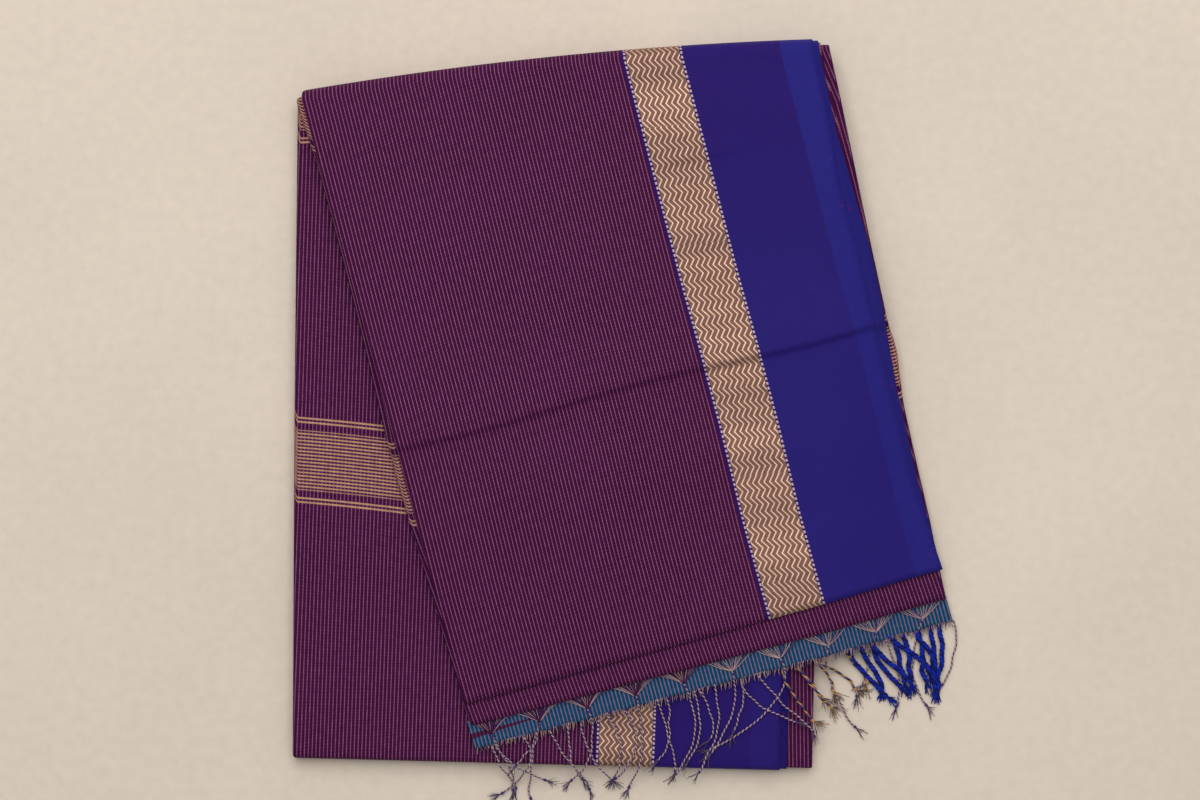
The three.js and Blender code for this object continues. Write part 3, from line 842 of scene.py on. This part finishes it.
comb = Yarn()  # loose warp ends below the heading
for across in np.arange(heading["left"] + 1, heading["right"] - 1, silk["stripePitch"] / 2):
    length, lean = chance.uniform(*heading["combLength"]), chance.gauss(-0.8, 0.7)
    path = []
    for t in np.linspace(0, 1, 5):
        x, y = endPoint(across + lean * t, heading["end"] - 0.8 + length * t)
        path.append((x, y, bedHeight(x, y) + heading["height"][1] + 0.15 - 0.9 * t * t))
    tone = tones[chance.choice(("mauve", "cream", "mauve", "violet"))]
    comb.tube(path, np.linspace(0.26, 0.16, 5), tone, 4)
thin = strandKinds["thin"]
for order, strand in enumerate(headingStrands):
    path = strandPath(strand, thin, heading["end"] - 0.6, heading["strandHeight"], order)
    comb.strand(path, thin)
headingFringe = comb.piece("headingFringe", "heading_band")

gathers = Yarn()  # warp ends drawn together into knots
for place, strand in enumerate(knotStrands):
    knotAcross = knotted["first"] + knotted["spacing"] * place
    start = max(-knotted["gatherHalf"], 1.5 - knotAcross)
    tight = place < knotted["loose"]
    sag = knotted["sag"][0 if tight else 1]
    for thread in range(knotted["threads"]):
        share = thread / (knotted["threads"] - 1)
        offset = lerp(start, knotted["gatherHalf"], share) + chance.uniform(-0.5, 0.5)
        path = []
        for t in np.linspace(0, 1, 9):
            across = knotAcross + offset * ((1 - t) ** 2 + sag * t * (1 - t))
            beyond = lerp(knotted["gatherStart"], knotted["beyond"], t ** 1.15 if abs(offset) > 6 else t)
            x, y = endPoint(across, beyond)
            path.append((x, y, bedHeight(x, y) + lerp(knotted["gatherHeight"], knotted["height"], t)))
        if thread % 2 == 0:
            gathers.tube(path, 0.19, tones[chance.choice(("cream", "mauve", "cream", "violet"))], 4)
        elif tight and abs(offset) < knotted["plumHalf"]:
            gathers.tube(path, 0.4, tones["plum"], 4)
    strand = dict(strand, across=knotAcross)
    path = np.array(strandPath(strand, thin, knotted["beyond"], knotted["height"] + 0.3, place))
    ahead = path[3] - path[1]
    gathers.coil(path[1], ahead / np.linalg.norm(ahead), thin, 1.1)
    gathers.strand(path, thin)
knottedFringe = gathers.piece("knottedFringe", "knotted_fringe")
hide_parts("knotted_fringe")

border = Yarn()  # thick strands of the border
for order, strand in enumerate(borderStrands):
    kind = strandKinds[strand["kind"]]
    path = strandPath(strand, kind, heading["start"] + 12.0, 1.4, order)
    border.strand(path, kind, knot=strand["kind"] == "mixed")
borderFringe = border.piece("borderFringe", "border_fringe")
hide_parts("border_fringe")
print("fringe:", comb.count + gathers.count + border.count, "points")


# floor, light and camera

studio = {
    "floorColour": silkColour(223, 209, 193),
    "floorSize": 4.0,
    "floorHeight": -0.0004,
    "cameraHeight": 1.619,
    "lens": 85,
    "aim": (-0.0126, 0.0163),
    "skyColour": (1.0, 0.985, 0.96, 1.0),
    "skyStrength": 0.42,
    "lampPower": 36,
    "lampSize": 2.2,
    "lampPlace": (-0.1, 1.05, 1.85),
}


def floorFinish():
    finish = Finish("pale floor")
    place = finish.node("ShaderNodeTexCoord", output=3)
    mottle = finish.noise(place, 6.0, 6.0)
    grain = finish.noise(place, 160.0, 4.0)
    colour = finish.shade(studio["floorColour"][:3], 0.83 + 0.18 * mottle + 0.16 * grain)
    return finish.close({"Base Color": colour, "Roughness": 0.9})


reach = studio["floorSize"] / 2
corners = [(-reach, -reach, 0), (reach, -reach, 0), (reach, reach, 0), (-reach, reach, 0)]
floorMesh = bpy.data.meshes.new("floor")
floorMesh.from_pydata(corners, [], [(0, 1, 2, 3)])
floor = bpy.data.objects.new("floor", floorMesh)
floor.location.z = studio["floorHeight"]
floorMesh.materials.append(floorFinish())
bpy.context.scene.collection.objects.link(floor)

lampData = bpy.data.lights.new("softLamp", "AREA")
lampData.energy = studio["lampPower"]
lampData.size = studio["lampSize"]
lamp = bpy.data.objects.new("softLamp", lampData)
lamp.location = studio["lampPlace"]
lamp.rotation_euler = (-lamp.location).to_track_quat("-Z", "Y").to_euler()
bpy.context.scene.collection.objects.link(lamp)

world = bpy.data.worlds.new("studio")
world.use_nodes = True
sky = world.node_tree.nodes["Background"]
sky.inputs["Color"].default_value = studio["skyColour"]
sky.inputs["Strength"].default_value = studio["skyStrength"]
bpy.context.scene.world = world
bpy.context.scene.view_settings.view_transform = "Standard"

cameraData = bpy.data.cameras.new("camera")
cameraData.lens = studio["lens"]
camera = bpy.data.objects.new("camera", cameraData)
camera.location = (*studio["aim"], studio["cameraHeight"])
bpy.context.scene.collection.objects.link(camera)
bpy.context.scene.camera = camera
print("stage, light and camera set")
